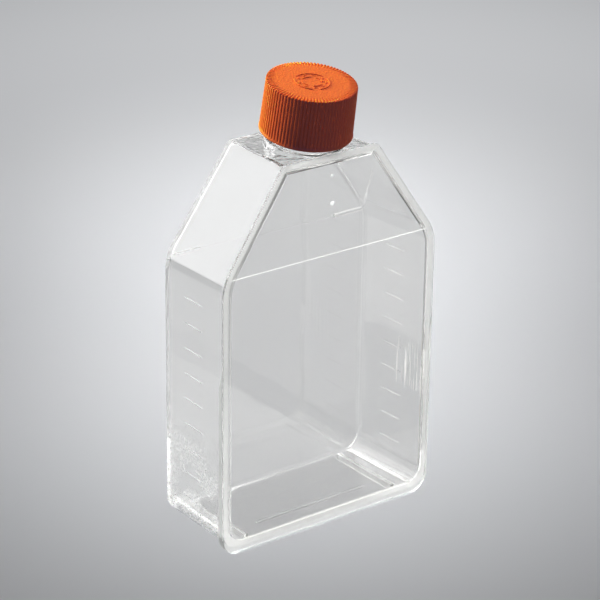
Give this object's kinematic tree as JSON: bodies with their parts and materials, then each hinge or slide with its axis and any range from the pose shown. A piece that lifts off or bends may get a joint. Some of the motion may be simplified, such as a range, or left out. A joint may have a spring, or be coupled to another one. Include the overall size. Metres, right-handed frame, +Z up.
{
  "type": "cell culture flask",
  "caption": "Clear rectangular culture flask that stands on its end, with sloping shoulders, graduated sides, a canted neck and a ribbed orange screw cap.",
  "frame": {"origin": "middle of the overall footprint, at the level that the flask stands on", "axes": "+Z up from the foot to the neck, -Y towards the welded cover that the neck leans to, +Y out of the growth face, X across the width"},
  "size_m": [0.084, 0.0368, 0.1497],
  "materials": {
    "clear_tray": "clear polystyrene, polished, with a moulded radius on every edge",
    "clear_cover": "clear polystyrene, polished",
    "seal": "white liner disc",
    "cap_plastic": "fine satin orange polyethylene"
  },
  "bodies": {
    "flask": {"flask_body": "clear_tray", "cover_plate": "clear_cover"},
    "seal": {"seal_disc": "seal"},
    "cap": {"screw_cap": "cap_plastic"}
  },
  "joints": [
    {"name": "cap_lift", "type": "slide", "parent": "flask", "child": "seal", "axis": [0, -0.1702, 0.9854], "range_m": [0, 0.0048]},
    {"name": "cap_turn", "type": "hinge", "parent": "seal", "child": "cap", "pos_m": [0, -0.00075, 0.126], "axis": [0, -0.1702, 0.9854], "range_deg": [0, 540]}
  ],
  "couplings": [
    {"joint": "cap_lift", "follows": "cap_turn", "m_per_rad": 0.00050929}
  ]
}
